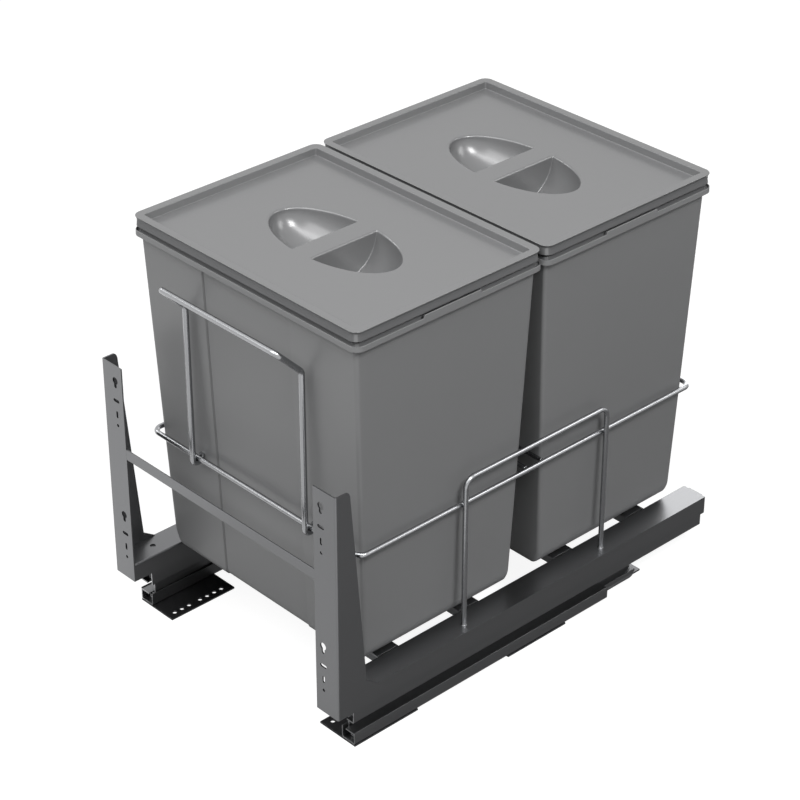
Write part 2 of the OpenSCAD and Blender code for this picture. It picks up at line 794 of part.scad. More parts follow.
module lid(y) {
    skirt_w = lid_w - 2 * skirt_inset;
    skirt_d = lid_d - 2 * skirt_inset;
    field_w = lid_w - 2 * border_w;
    field_d = lid_d - 2 * border_w;
    mouth_in = 2 * (bin_t + rim_play);
    skirt_r = lid_corner_r - skirt_inset;
    color(lid_grey) translate([0, y, carriage_h + bin_h]) {
        rim_wall(lid_w, lid_d, lid_corner_r, border_w, lid_h - lid_t, lid_h);
        rim_wall(skirt_w, skirt_d, skirt_r, lid_t, 0, lid_h - lid_t / 2);
        rim_wall(field_w + 2 * lid_t, field_d + 2 * lid_t, 2 * lid_t, lid_t, field_z - lid_t, lid_h - lid_t / 2);
        rim_wall(mouth_w - mouth_in, mouth_d - mouth_in, bin_corner_r, lid_t, -rim_depth, field_z - lid_t / 2);
        difference() {
            union() {
                translate([0, 0, field_z - lid_t]) linear_extrude(lid_t)
                    rounded_rect(field_w + lid_t, field_d + lid_t, 1.5 * lid_t);
                intersection() {
                    bowl_form(lid_t);
                    beside_grip(grip_w / 2 - lid_t, field_z - lid_t / 2);
                }
            }
            intersection() {
                bowl_form(0);
                beside_grip(grip_w / 2, field_z + cut);
            }
        }
    }
}

// Each node by its name

on_side(false) fixed_rail();  // fixed_rail_left
on_side(true) fixed_rail();  // fixed_rail_right
on_side(false) front_foot();  // front_foot_left
on_side(true) front_foot();  // front_foot_right
on_side(false) middle_foot();  // middle_foot_left
on_side(true) middle_foot();  // middle_foot_right
on_side(false) back_foot();  // back_foot_left
on_side(true) back_foot();  // back_foot_right
on_side(false) middle_rail();  // middle_rail_left
on_side(true) middle_rail();  // middle_rail_right
on_side(false) lower_ball_cage();  // lower_ball_cage_left
on_side(true) lower_ball_cage();  // lower_ball_cage_right
on_side(false) lower_balls();  // lower_balls_left
on_side(true) lower_balls();  // lower_balls_right
on_side(false) upper_ball_cage();  // upper_ball_cage_left
on_side(true) upper_ball_cage();  // upper_ball_cage_right
on_side(false) upper_balls();  // upper_balls_left
on_side(true) upper_balls();  // upper_balls_right
on_side(false) moving_rail();  // moving_rail_left
on_side(true) moving_rail();  // moving_rail_right
on_side(false) cover_rail();  // cover_rail_left
on_side(true) cover_rail();  // cover_rail_right
on_side(false) door_bracket();  // door_bracket_left
on_side(true) door_bracket();  // door_bracket_right
front_crossbar();
strap(straps_y);  // front_bin_front_strap
strap(straps_y + strap_pitch);  // front_bin_back_strap
strap(straps_y + back_straps_run);  // back_bin_front_strap
strap(straps_y + back_straps_run + strap_pitch);  // back_bin_back_strap
wire_ring();
on_side(false) side_wire();  // side_wire_left
on_side(true) side_wire();  // side_wire_right
front_divider_wire();
back_divider_wire();
front_wire_frame();
bin(front_bin_y);  // front_bin
bin(back_bin_y);  // back_bin
lid(front_bin_y);  // front_lid
lid(back_bin_y);  // back_lid
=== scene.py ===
"""Built-in waste bin: two lidded bins on a pull-out carriage, dressed for the camera.

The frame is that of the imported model, in metres. The side wires and the moulded pieces are drawn in
millimetres, and MM turns them into metres.
"""

import json
from math import radians

import bmesh
import bpy
import numpy as np
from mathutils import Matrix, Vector
from mathutils.geometry import delaunay_2d_cdt

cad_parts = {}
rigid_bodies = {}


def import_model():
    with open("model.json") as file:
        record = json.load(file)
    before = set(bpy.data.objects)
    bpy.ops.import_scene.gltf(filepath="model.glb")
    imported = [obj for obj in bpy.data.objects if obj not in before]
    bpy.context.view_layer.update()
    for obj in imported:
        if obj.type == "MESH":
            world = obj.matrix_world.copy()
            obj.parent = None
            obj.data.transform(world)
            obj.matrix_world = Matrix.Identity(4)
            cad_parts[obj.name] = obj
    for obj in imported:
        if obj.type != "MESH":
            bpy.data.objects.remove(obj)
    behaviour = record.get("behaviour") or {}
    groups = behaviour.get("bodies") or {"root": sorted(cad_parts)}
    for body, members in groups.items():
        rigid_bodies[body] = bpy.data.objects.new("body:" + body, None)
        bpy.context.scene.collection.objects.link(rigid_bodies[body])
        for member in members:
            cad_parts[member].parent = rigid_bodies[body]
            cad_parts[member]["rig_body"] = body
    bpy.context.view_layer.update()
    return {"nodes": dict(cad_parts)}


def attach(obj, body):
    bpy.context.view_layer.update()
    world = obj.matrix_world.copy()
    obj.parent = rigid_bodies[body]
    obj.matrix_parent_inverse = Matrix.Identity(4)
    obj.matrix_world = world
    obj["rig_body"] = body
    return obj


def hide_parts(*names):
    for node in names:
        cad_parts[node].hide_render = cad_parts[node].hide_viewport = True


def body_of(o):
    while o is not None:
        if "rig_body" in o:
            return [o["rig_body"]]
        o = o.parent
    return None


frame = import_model()
NODES = frame["nodes"]
MM = 0.001


# Materials

def group(name, inputs, outputs):
    """Empty shader node group with float or colour sockets; returns it with its input and output nodes."""
    tree = bpy.data.node_groups.new(name, "ShaderNodeTree")
    for label, kind, value in inputs:
        socket = tree.interface.new_socket(label, in_out="INPUT", socket_type=kind)
        if value is not None:
            socket.default_value = value
    for label, kind in outputs:
        tree.interface.new_socket(label, in_out="OUTPUT", socket_type=kind)
    return tree, tree.nodes.new("NodeGroupInput"), tree.nodes.new("NodeGroupOutput")


def node(tree, kind, **settings):
    """New node of a tree with its properties set."""
    made = tree.nodes.new(kind)
    for key, value in settings.items():
        setattr(made, key, value)
    return made


def ramp_between(tree, value, low, high, to_low, to_high):
    """Maps value from low...high to to_low...to_high, clamped."""
    made = node(tree, "ShaderNodeMapRange")
    tree.links.new(value, made.inputs["Value"])
    for label, number in (("From Min", low), ("From Max", high), ("To Min", to_low), ("To Max", to_high)):
        made.inputs[label].default_value = number
    return made.outputs["Result"]


# How much the fine grain adds to the tone, beside the cloud
SPECK_SHARE = 0.6


def make_grain():
    """Moulded or sprayed surface: fine grain, a slow cloud of tone and a spread of roughness."""
    tree, put, out = group(
        "surface_grain",
        [("Grain Size", "NodeSocketFloat", 900.0), ("Cloud Size", "NodeSocketFloat", 9.0),
         ("Roughness", "NodeSocketFloat", 0.4), ("Roughness Spread", "NodeSocketFloat", 0.05),
         ("Colour", "NodeSocketColor", (0.2, 0.2, 0.2, 1)), ("Tone Spread", "NodeSocketFloat", 0.04)],
        [("Height", "NodeSocketFloat"), ("Roughness", "NodeSocketFloat"), ("Colour", "NodeSocketColor")])
    place = node(tree, "ShaderNodeTexCoord")
    fine = node(tree, "ShaderNodeTexNoise")
    fine.inputs["Detail"].default_value = 3
    cloud = node(tree, "ShaderNodeTexNoise")
    cloud.inputs["Detail"].default_value = 4
    for noise, size in ((fine, "Grain Size"), (cloud, "Cloud Size")):
        tree.links.new(place.outputs["Object"], noise.inputs["Vector"])
        tree.links.new(put.outputs[size], noise.inputs["Scale"])
    tree.links.new(fine.outputs["Fac"], out.inputs["Height"])

    centred = node(tree, "ShaderNodeMath", operation="SUBTRACT")
    tree.links.new(cloud.outputs["Fac"], centred.inputs[0])
    centred.inputs[1].default_value = 0.5
    rough = node(tree, "ShaderNodeMath", operation="MULTIPLY_ADD")
    tree.links.new(centred.outputs[0], rough.inputs[0])
    tree.links.new(put.outputs["Roughness Spread"], rough.inputs[1])
    tree.links.new(put.outputs["Roughness"], rough.inputs[2])
    tree.links.new(rough.outputs[0], out.inputs["Roughness"])

    speck = node(tree, "ShaderNodeMath", operation="MULTIPLY_ADD")
    tree.links.new(fine.outputs["Fac"], speck.inputs[0])
    speck.inputs[1].default_value = SPECK_SHARE
    tree.links.new(centred.outputs[0], speck.inputs[2])
    tone = node(tree, "ShaderNodeMath", operation="MULTIPLY_ADD")
    tree.links.new(speck.outputs[0], tone.inputs[0])
    tree.links.new(put.outputs["Tone Spread"], tone.inputs[1])
    tone.inputs[2].default_value = 1.0
    shade = node(tree, "ShaderNodeVectorMath", operation="SCALE")
    tree.links.new(put.outputs["Colour"], shade.inputs[0])
    tree.links.new(tone.outputs[0], shade.inputs["Scale"])
    tree.links.new(shade.outputs[0], out.inputs["Colour"])
    return tree


GRAIN = make_grain()
# Scale of the cloud of tone, spread of the roughness, and depth of the relief in metres
CLOUD_SIZE = 9.0
ROUGHNESS_SPREAD = 0.05
BUMP_DEPTH = 0.0002


def finish(name, colour, roughness, metallic=0.0, specular=0.5, grain=900.0, tone=0.04, relief=0.02):
    """Material of one finish, with grain in its colour, its roughness and its relief."""
    material = bpy.data.materials.new(name)
    material.use_nodes = True
    tree = material.node_tree
    shader = tree.nodes["Principled BSDF"]
    shader.inputs["Metallic"].default_value = metallic
    shader.inputs["Specular IOR Level"].default_value = specular
    surface = node(tree, "ShaderNodeGroup", node_tree=GRAIN)
    for label, value in (("Grain Size", grain), ("Cloud Size", CLOUD_SIZE), ("Roughness", roughness),
                         ("Roughness Spread", ROUGHNESS_SPREAD), ("Colour", (*colour, 1)),
                         ("Tone Spread", tone)):
        surface.inputs[label].default_value = value
    bump = node(tree, "ShaderNodeBump")
    bump.inputs["Strength"].default_value = relief
    bump.inputs["Distance"].default_value = BUMP_DEPTH
    tree.links.new(surface.outputs["Height"], bump.inputs["Height"])
    tree.links.new(bump.outputs["Normal"], shader.inputs["Normal"])
    tree.links.new(surface.outputs["Roughness"], shader.inputs["Roughness"])
    tree.links.new(surface.outputs["Colour"], shader.inputs["Base Color"])
    return material


ANTHRACITE = (0.190, 0.192, 0.197)
FINISH = {
    "lid_plastic": finish("moulded_lid_plastic", (0.198, 0.200, 0.203), 0.26, specular=0.85, tone=0.03,
                          relief=0.10),
    # Darker, matt copy of the lid plastic: the matt finish is the plastic's own, the darker tone is painted
    # shade on the lids' outer sides and the bins' gutters
    "painted_shade_plastic": finish("matt_painted_shade_plastic", (0.150, 0.152, 0.155), 0.50, specular=0.3, tone=0.03, relief=0.10),
    "bin_plastic": finish("moulded_bin_plastic", (0.225, 0.227, 0.230), 0.42, relief=0.12),
    "cover_paint": finish("anthracite_sheet_paint", ANTHRACITE, 0.36, metallic=1.0, grain=1600.0,
                          relief=0.08),
    "rail_paint": finish("anthracite_rail_paint", ANTHRACITE, 0.36, metallic=1.0, grain=1600.0, relief=0.06),
    "foot_paint": finish("dark_foot_paint", (0.10, 0.10, 0.104), 0.38, metallic=1.0, grain=1500.0,
                         relief=0.08),
    "wire_metal": finish("satin_wire", (0.35, 0.355, 0.365), 0.25, metallic=1.0, grain=2200.0, relief=0.05),
    # Paler copy of the rail paint: painted highlight on the rails' sawn ends
    "cut_end_painted_highlight": finish("paler_cut_end_painted_highlight", (0.36, 0.365, 0.37), 0.45, metallic=1.0, grain=1600.0, relief=0.08),
    # Near-black copy of the sheet paint: painted shade on the walls of punched holes
    "hole_wall_painted_shade": finish("punched_hole_painted_shade", (0.03, 0.03, 0.032), 0.5, metallic=1.0, grain=1600.0,
                        relief=0.08),
    "ball_steel": finish("bright_ball_steel", (0.7, 0.7, 0.71), 0.1, metallic=1.0, relief=0.01),
    "cage_steel": finish("zinc_cage_steel", (0.5, 0.51, 0.53), 0.35, metallic=1.0, relief=0.05),
}


# Sheet and wire

# In metres: thickness of the sheet, outer radius of its folds, how much further out the wires across and
# round the bins reach than the solids, and beyond which X a point belongs to a wire's end
SHEET = 0.0015
FOLD = 0.0022
RING_GROWTH = 0.0029
WIRE_ENDS_X = 0.1
# How near points are merged, below which angle faces are joined, and above which an edge is rounded
MERGE = 1e-6
FLAT_ANGLE = radians(0.3)
EDGE_ANGLE = radians(34)
SHEET_NORMAL_WEIGHT = 80


def sharp_fold(points, radius, thick):
    """Draws the outer round of a fold along Y, at the top and far side of a piece, together to its corner.

    The round is where a point lies a radius from the fold's centre, which is a radius in from both faces.
    """
    far, top = np.abs(points[:, 0]).max(), points[:, 2].max()
    off = np.hypot(np.abs(points[:, 0]) - far + radius, points[:, 2] - top + radius)
    in_corner = (np.abs(points[:, 0]) > far - radius) & (points[:, 2] > top - radius)
    on_round = (np.abs(off - radius) < thick / 4) & in_corner
    points[on_round, 0] = np.sign(points[on_round, 0]) * far
    points[on_round, 2] = top


def wider(points, by):
    """Moves both ends of a wire piece out along X by the same length, so its straight runs grow."""
    ends = np.abs(points[:, 0]) > WIRE_ENDS_X
    points[ends, 0] += np.sign(points[ends, 0]) * by


def eased(name, finish_name, width, segments=2, change=None, *amounts):
    """Copy of a CAD node with its doubles merged, flat faces joined and every sharp edge rounded by width.

    Where a change is given, it moves the points first, by its amounts.
    """
    source = NODES[name]
    mesh = bpy.data.meshes.new("eased_" + name)
    work = bmesh.new()
    work.from_mesh(source.data)
    bmesh.ops.remove_doubles(work, verts=work.verts, dist=MERGE)
    if change:
        work.to_mesh(mesh)
        points = np.empty(len(mesh.vertices) * 3)
        mesh.vertices.foreach_get("co", points)
        points = points.reshape(-1, 3)
        change(points, *amounts)
        mesh.vertices.foreach_set("co", points.ravel())
        work.free()
        work = bmesh.new()
        work.from_mesh(mesh)
        bmesh.ops.remove_doubles(work, verts=work.verts, dist=MERGE)
        bmesh.ops.dissolve_degenerate(work, edges=work.edges, dist=MERGE)
    bmesh.ops.dissolve_limit(work, angle_limit=FLAT_ANGLE, verts=work.verts, edges=work.edges)
    work.to_mesh(mesh)
    work.free()
    mesh.shade_smooth()
    piece = bpy.data.objects.new("eased_" + name, mesh)
    bpy.context.scene.collection.objects.link(piece)
    piece.data.materials.append(FINISH[finish_name])
    if width:
        bevel = piece.modifiers.new("edge", "BEVEL")
        bevel.width = width
        bevel.segments = segments
        bevel.limit_method = "ANGLE"
        bevel.angle_limit = EDGE_ANGLE
        bevel.use_clamp_overlap = True
    normals = piece.modifiers.new("normals", "WEIGHTED_NORMAL")
    normals.weight = SHEET_NORMAL_WEIGHT
    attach(piece, body_of(source)[0])
    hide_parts(name)
    return piece


def second_finish(piece, finish_name, chosen):
    """Gives the faces chosen by their middles and normals another finish."""
    mesh = piece.data
    middles, normals = (np.empty(len(mesh.polygons) * 3) for _ in range(2))
    mesh.polygons.foreach_get("center", middles)
    mesh.polygons.foreach_get("normal", normals)
    mesh.materials.append(FINISH[finish_name])
    picked = chosen(middles.reshape(-1, 3), normals.reshape(-1, 3))
    mesh.polygons.foreach_set("material_index", picked.astype(np.int32))


# A face counts as a hole's wall below the first share of its normal, and as a cut end above the second
WALL_SLOPE = 0.3
CUT_SLOPE = 0.95
# Where holes are looked for in a bracket's plate and in a cover's top, in metres
PLATE_BACK_Y = -0.2655
PLATE_INNER_MARGIN = 0.002
PLATE_OUTER_X = 0.1725
PLATE_LOW_Z = 0.06
PLATE_TOP_MARGIN = 0.003
COVER_TOP_Z = 0.0676
COVER_INNER_X = 0.146
COVER_OUTER_X = 0.17
COVER_END_Y = 0.262


def hole_walls(middles, normals):
    """Walls of the holes in a bracket's front plate, inside its outline: their dark finish is painted shade.
    """
    x, z = np.abs(middles[:, 0]), middles[:, 2]
    wall = (middles[:, 1] < PLATE_BACK_Y) & (np.abs(normals[:, 1]) < WALL_SLOPE)
    within = (x > x.min() + PLATE_INNER_MARGIN) & (x < PLATE_OUTER_X)
    return wall & within & (z > PLATE_LOW_Z) & (z < z.max() - PLATE_TOP_MARGIN)


def cover_hole_walls(middles, normals):
    """Walls of the holes in a cover's top, whose dark finish is painted shade."""
    x, y = np.abs(middles[:, 0]), np.abs(middles[:, 1])
    wall = (middles[:, 2] > COVER_TOP_Z) & (np.abs(normals[:, 2]) < WALL_SLOPE)
    return wall & (x > COVER_INNER_X) & (x < COVER_OUTER_X) & (y < COVER_END_Y)


def cut_ends(middles, normals):
    """Sawn front and back ends of a rail, whose paler finish is a painted highlight."""
    return np.abs(normals[:, 1]) > CUT_SLOPE


# Widths of the edge rounds, in metres
COVER_EASE = 0.00012
BRACKET_EASE = 0.00015
STRAP_EASE = 0.00018
FOOT_EASE = 0.0002
RAIL_EASE = 0.0001
WIRE_EASE = 0.0004
CAGE_EASE = 0.0001
for name in NODES:
    if "cover" in name:
        cover = eased(name, "cover_paint", COVER_EASE, 1, sharp_fold, FOLD, SHEET)
        # The holes' walls get a near-black finish: painted shade
        second_finish(cover, "hole_wall_painted_shade", cover_hole_walls)
    elif "bracket" in name:
        # The holes' walls get a near-black finish: painted shade
        second_finish(eased(name, "cover_paint", BRACKET_EASE), "hole_wall_painted_shade", hole_walls)
    elif "strap" in name or "crossbar" in name:
        eased(name, "cover_paint", STRAP_EASE)
    elif "foot" in name:
        eased(name, "foot_paint", FOOT_EASE)
    elif "rail" in name:
        fold = () if "middle" in name else (sharp_fold, FOLD, SHEET)
        # The sawn ends get a paler finish: painted highlight
        second_finish(eased(name, "rail_paint", RAIL_EASE, 1, *fold), "cut_end_painted_highlight", cut_ends)
    elif "side_wire" in name:
        continue
    elif name == "wire_ring" or "divider" in name:
        eased(name, "wire_metal", WIRE_EASE, 2, wider, RING_GROWTH)
    elif "wire" in name:
        eased(name, "wire_metal", WIRE_EASE)
    elif "balls" in name:
        eased(name, "ball_steel", 0)
    elif "cage" in name:
        eased(name, "cage_steel", CAGE_EASE)


# In millimetres: the side wires, with how far their legs stand inside the solids' box and in the cover, and
# the weld round each foot
WIRE_R = 2.75
COVER_TOP = 69.0
BOW_BEND = 10.5
BOW_FRONT_IN = 0.5
BOW_BACK_IN = 2.5
BOW_SINK = 0.3
WELD_SINK = 0.2
WELD_H = 2.4
WELD_OUT = 0.9
WELD_IN = 0.4
WELD_TOP = 2.2


def node_box(name):
    """Lowest and highest corner of a CAD node."""
    mesh = NODES[name].data
    points = np.empty(len(mesh.vertices) * 3)
    mesh.vertices.foreach_get("co", points)
    points = points.reshape(-1, 3)
    return points.min(axis=0), points.max(axis=0)


def tube(points, radius, around=16):
    """Round wire along a path in one plane x = constant, as a grid of rings.

    A ring point is the path point plus radius times (cos of its angle along X, sin of it along the normal
    that lies in the path's plane).
    """
    points = np.asarray(points, float)
    run = np.gradient(points, axis=0)
    run /= np.linalg.norm(run, axis=1, keepdims=True)
    across = np.array([1.0, 0, 0])
    upright = np.cross(run, across)
    t = np.linspace(0, 2 * np.pi, around, endpoint=False)[None, :, None]
    return points[:, None] + radius * (np.cos(t) * across + np.sin(t) * upright[:, None])


def side_wire(name, side):
    """Bow of wire on a cover, in one upright plane just outside the ring, with a weld at each foot.

    The weld's outline goes in and up as a quarter turn: out by WELD_OUT times (1 - sin), up by WELD_H times
    (1 - cos), and ends a little inside the wire.
    """
    low, high = (corner / MM for corner in node_box(name))
    r = WIRE_R
    x = side * (node_box("wire_ring")[1][0] / MM + RING_GROWTH / MM + r)
    front, back = low[1] + r + BOW_FRONT_IN, high[1] - r - BOW_BACK_IN
    foot, top = COVER_TOP - BOW_SINK, high[2] - r
    corner = rounded([(front, foot), (front, top), (back, top), (back, foot)], [BOW_BEND, BOW_BEND], steps=9)
    path = np.column_stack([np.full(len(corner), x), corner])
    shell = Shell()
    rings = tube(path, r)
    shell.grid(rings, wrap=True)
    for end in (0, -1):
        shell.cap(rings[end])
    for y in (front, back):
        a = np.linspace(0, np.pi / 2, 6)
        reach = np.append(r + WELD_OUT * (1 - np.sin(a)), r - WELD_IN)
        height = np.append(COVER_TOP - WELD_SINK + WELD_H * (1 - np.cos(a)), COVER_TOP + WELD_TOP)
        t = np.linspace(0, 2 * np.pi, 24, endpoint=False)
        bead = np.stack([x + reach[:, None] * np.cos(t), y + reach[:, None] * np.sin(t),
                         np.broadcast_to(height[:, None], (len(height), len(t)))], axis=2)
        shell.grid(bead, wrap=True)
        shell.cap(bead[0])
        shell.cap(bead[-1])
    shell.build("bow_" + name, "wire_metal", body_of(NODES[name])[0], (0, 0, 0), name)


# Moulded plastic

SHELL_MERGE = 8e-6
SHELL_NORMAL_WEIGHT = 90

# In millimetres: heights above the ground, half sizes, and middles of bins and lids
BIN_FOOT_Z = 69
RIM_Z = 442.7
FLANGE_HALF = (163.7, 121.3)
LID_HALF = (162.9, 120.5)
BIN_Y = {"front": -109.0, "back": 135.0}
LID_PLACE = {"front": (-0.8, -109.0), "back": (-0.8, 135.8)}
BETWEEN_BINS_Y = 13

# Lid, in millimetres, with heights above the bin's rim; a profile point is (distance inside the edge, height)
FIELD_TOP = 5.3
FIELD_UNDER = 3.3
BOWL_AXIS_Z = 7.1
BOWL_ACROSS = 40
BISECTIONS = 60
BOWL_TOP = {"half_l": 83.9, "half_w": 42.7, "wall_x": 14, "crease": 1.0, "rim": 2.4}
BOWL_UNDER = {"half_l": 85.9, "half_w": 44.7, "wall_x": 12, "crease": 2.0, "rim": 1.0}
LID_PROFILE = [
    (13.2, FIELD_TOP), (9.3, FIELD_TOP), (9.2, 13.5), (0, 13.5), (1.6, 10.4), (1.6, 7.6), (1, 2.6),
    (3.4, 2.6), (3.6, 11.5), (5.6, 11.5), (5.6, 0), (7.6, 0), (7.6, FIELD_UNDER), (13.2, FIELD_UNDER)]
LID_ROUNDS = [0.7, 0.9, 0.35, 2, 2, 0.4, 0.3, 0.3, 0.3, 0.4, 0.4, 0.5]
LOCATING_HALF = (152.5, 110.9)
LOCATING_CORNER = 6
LOCATING_PROFILE = [(1, 4), (0, 4), (0, -4), (2, -4), (2, 4), (1, 4)]
SKIRT_BAND = 3.2
SKIRT_LOW = 2.4
SKIRT_HIGH = 13.3

# Bin, in millimetres, with heights above its base; a profile point is as for the lid
BIN_H = 373.7
BASE_HALF = (147.5, 99.9)
SPREAD = (9.6, 15.6)
BASE_ROUNDS = (21, 8)
WALL = 2.2
WALL_TOP = 366.0
LIP_FOOT = 366.8
GUTTER_Z = 370
LIP_PROFILE = [
    (6.6, LIP_FOOT), (6.5, 368.8), (2.2, 368.8), (2.2, LIP_FOOT), (0, LIP_FOOT), (0.3, 372.6), (1.2, 372.6),
    (1.5, GUTTER_Z), (3.7, GUTTER_Z)]
LIP_ROUNDS = [0.8, 0.6, 0.4, 0.5, 0.5, 0.25, 0.3]
RIM_PROFILE = [(3.75, GUTTER_Z), (5.2, GUTTER_Z), (5.9, BIN_H), (8.8, BIN_H), (8.9, 368)]
RIM_ROUNDS = [0.4, 0.4, 1.0]
PANEL_DEPTH = 1.4
GROOVE_DEPTH = 2.6
PANEL_HALF_W = 63.2
PANEL_NARROWS = 0.7
TAB_HALF_L = 36
TAB_SLOPE = 0.8
TAB_OUTER_W = 1.3
TAB_SHELF_W = 3.72
TAB_RISE_GUTTER = 4.6
TAB_RISE_LIP = 3.2
# The gutter's faces lie between these distances inside the flange's edge, and above this height
GUTTER_INSET = (1.3, 5.9)
GUTTER_LOW_Z = 438.8


def rounded(points, radii, steps=4):
    """Open 2D path with its corners rounded: at each inner point a circle of that radius touches both lines.

    The arc from touch point to touch point is a turn of the radius about the circle's centre.
    """
    path = [points[0]]
    for before, corner, after, radius in zip(points, points[1:], points[2:], radii):
        before, corner, after = (np.array(p, float) for p in (before, corner, after))
        back, on = before - corner, after - corner
        back /= np.linalg.norm(back)
        on /= np.linalg.norm(on)
        half = np.arccos(np.clip(back @ on, -1, 1)) / 2
        middle = back + on
        centre = corner + middle / np.linalg.norm(middle) * radius / np.sin(half)
        reach = radius / np.tan(half)
        first, last = corner + back * reach - centre, corner + on * reach - centre
        a = np.arctan2(first[1], first[0])
        turn = (np.arctan2(last[1], last[0]) - a + np.pi) % (2 * np.pi) - np.pi
        angles = a + turn * np.linspace(0, 1, steps + 1)
        path.extend(centre + radius * np.stack([np.cos(angles), np.sin(angles)], axis=1))
    path.append(points[-1])
    return np.array([tuple(p) for p in path])


def loops(half_w, half_d, radius, xs, ys, arc=8):
    """Rounded rectangles, one row each: four quarter turns joined by straight runs with points at xs and ys.

    A corner point is the corner's centre plus radius times (cos, sin) of its angle.
    """
    half_w, half_d, radius = (np.asarray(v, float)[:, None] for v in (half_w, half_d, radius))
    rows = len(half_w)
    xs, ys = (np.broadcast_to(v, (rows, v.shape[-1])) for v in (xs, ys))
    parts = []
    for k, (sx, sy) in enumerate(((1, 1), (-1, 1), (-1, -1), (1, -1))):
        t = (k + np.linspace(0, 1, arc + 1)) * np.pi / 2
        parts.append(np.stack([sx * (half_w - radius) + radius * np.cos(t),
                               sy * (half_d - radius) + radius * np.sin(t)], axis=2))
        across, side = (xs, half_d) if k in (0, 2) else (ys, half_w)
        side = np.broadcast_to(side, across.shape)
        run = (np.stack([-across, side], axis=2), np.stack([-side, -across], axis=2),
               np.stack([across, -side], axis=2), np.stack([side, across], axis=2))[k]
        parts.append(run)
    return np.concatenate(parts, axis=1)


def quads(rows, cols, wrap, first=0):
    """Corner numbers of the squares of a grid, closed across its columns if wrap."""
    r, c = np.meshgrid(np.arange(rows - 1), np.arange(cols if wrap else cols - 1), indexing="ij")
    n = (c + 1) % cols
    return (first + np.stack([r * cols + c, r * cols + n, (r + 1) * cols + n, (r + 1) * cols + c], axis=2)
            ).reshape(-1, 4)


class Shell:
    """Gathers grids and flat fills in millimetres and makes one closed mesh of them."""

    def __init__(self):
        self.points, self.faces, self.count = [], [], 0

    def grid(self, points, wrap=False):
        """Adds a grid of points, rows by columns."""
        rows, cols = points.shape[:2]
        self.points.append(points.reshape(-1, 3))
        self.faces.extend(quads(rows, cols, wrap, self.count).tolist())
        self.count += rows * cols

    def fill(self, outline, holes, z):
        """Adds a flat sheet at height z inside an outline and outside its holes, closed rows of (x, y)."""
        rings = [outline, *holes]
        flat = np.concatenate(rings)
        edges, start = [], 0
        for ring in rings:
            n = np.arange(len(ring))
            edges.extend((start + np.stack([n, (n + 1) % len(ring)], axis=1)).tolist())
            start += len(ring)
        points, _, triangles, *_ = delaunay_2d_cdt([Vector(p) for p in flat], edges, [], 1, 1e-5)
        points = np.array([tuple(p) for p in points])
        triangles = np.array(triangles)
        middle = points[triangles].mean(axis=1)
        keep = np.ones(len(triangles), bool)
        for hole in holes:
            keep &= ~inside(hole, middle)
        self.points.append(np.column_stack([points, np.full(len(points), z)]))
        self.faces.extend((triangles[keep] + self.count).tolist())
        self.count += len(points)

    def cap(self, ring):
        """Closes a hole whose edge is a row of points, with a fan about their middle."""
        n = len(ring)
        self.points.append(np.concatenate([ring, ring.mean(axis=0, keepdims=True)]))
        c = np.arange(n)
        fan = np.column_stack([c, (c + 1) % n, np.full(n, n)]) + self.count
        self.faces.extend(fan.tolist())
        self.count += n + 1

    def build(self, name, finish_name, body, shift, *nodes):
        """Makes the object, with doubles merged and faces turned outwards, rides it on a body."""
        mesh = bpy.data.meshes.new(name)
        points = (np.concatenate(self.points) + np.array(shift)) * MM
        mesh.from_pydata(points.tolist(), [], self.faces)
        work = bmesh.new()
        work.from_mesh(mesh)
        bmesh.ops.remove_doubles(work, verts=work.verts, dist=SHELL_MERGE)
        bmesh.ops.recalc_face_normals(work, faces=work.faces)
        work.to_mesh(mesh)
        open_edges = sum(not e.is_manifold for e in work.edges)
        if open_edges:
            print(name, "has", open_edges, "open edges")
        work.free()
        mesh.shade_smooth()
        mesh.materials.append(FINISH[finish_name])
        piece = bpy.data.objects.new(name, mesh)
        bpy.context.scene.collection.objects.link(piece)
        normals = piece.modifiers.new("normals", "WEIGHTED_NORMAL")
        normals.weight = SHELL_NORMAL_WEIGHT
        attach(piece, body)
        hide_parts(*nodes)
        return piece


def inside(ring, points):
    """Whether each point is in a closed ring: a line to +X then crosses it an odd number of times."""
    a, b = ring, np.roll(ring, -1, axis=0)
    x, y = points[:, :1], points[:, 1:]
    crosses = (a[:, 1] > y) != (b[:, 1] > y)
    with np.errstate(divide="ignore", invalid="ignore"):
        at = a[:, 0] + (y - a[:, 1]) * (b[:, 0] - a[:, 0]) / (b[:, 1] - a[:, 1])
    return (crosses & (x < at)).sum(axis=1) % 2 == 1


def carried_round(ring, height):
    """Grid of 3D points from plan rows and the height of each row."""
    heights = np.broadcast_to(height[:, None, None], ring.shape[:2] + (1,))
    return np.concatenate([ring, heights], axis=2)


